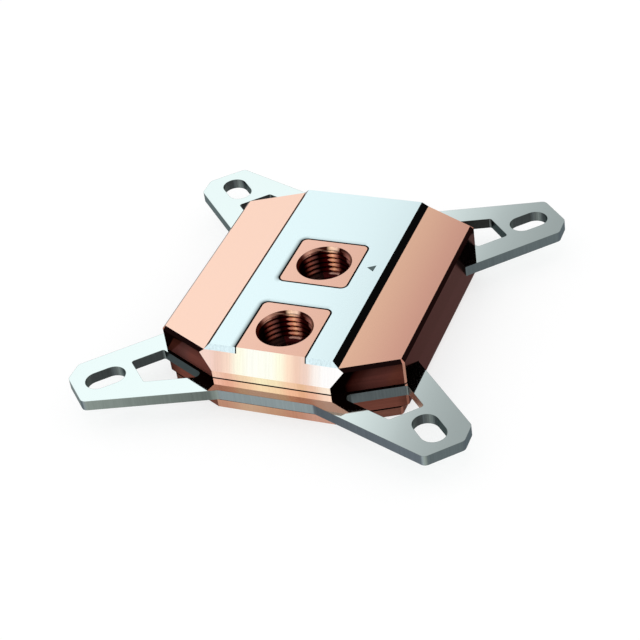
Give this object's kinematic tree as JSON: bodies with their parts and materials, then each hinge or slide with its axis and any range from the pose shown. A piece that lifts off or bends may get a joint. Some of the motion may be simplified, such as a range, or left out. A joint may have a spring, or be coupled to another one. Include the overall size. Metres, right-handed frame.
{
  "type": "cpu water block",
  "caption": "Copper liquid-cooling block for a processor with threaded hose ports, a steel cover strip and a slotted steel mounting bracket.",
  "frame": {"origin": "centre of the contact face, on the plane it rests on", "axes": "+Z out of the port mouths, +Y along the cover strip away from the outlet port, +X across the strip"},
  "size_m": [0.0944, 0.095, 0.0164],
  "materials": {
    "cold_plate_copper": "fine machined, flat",
    "body_copper": "bare milled copper, smooth satin to bright",
    "bracket_steel": "smooth bright top, ground edges",
    "strip_steel": "fine satin",
    "jet_steel": "laser cut sheet",
    "seal_rubber": "matt",
    "screw_steel": "plain turned"
  },
  "bodies": {
    "root": {"cold_plate": "cold_plate_copper", "lower_body": "body_copper", "mounting_bracket": "bracket_steel", "top_body": "body_copper", "cover_strip": "strip_steel", "jet_plate": "jet_steel", "base_seal": "seal_rubber", "inlet_seal": "seal_rubber", "outlet_seal": "seal_rubber", "body_screws": "screw_steel"}
  },
  "joints": []
}
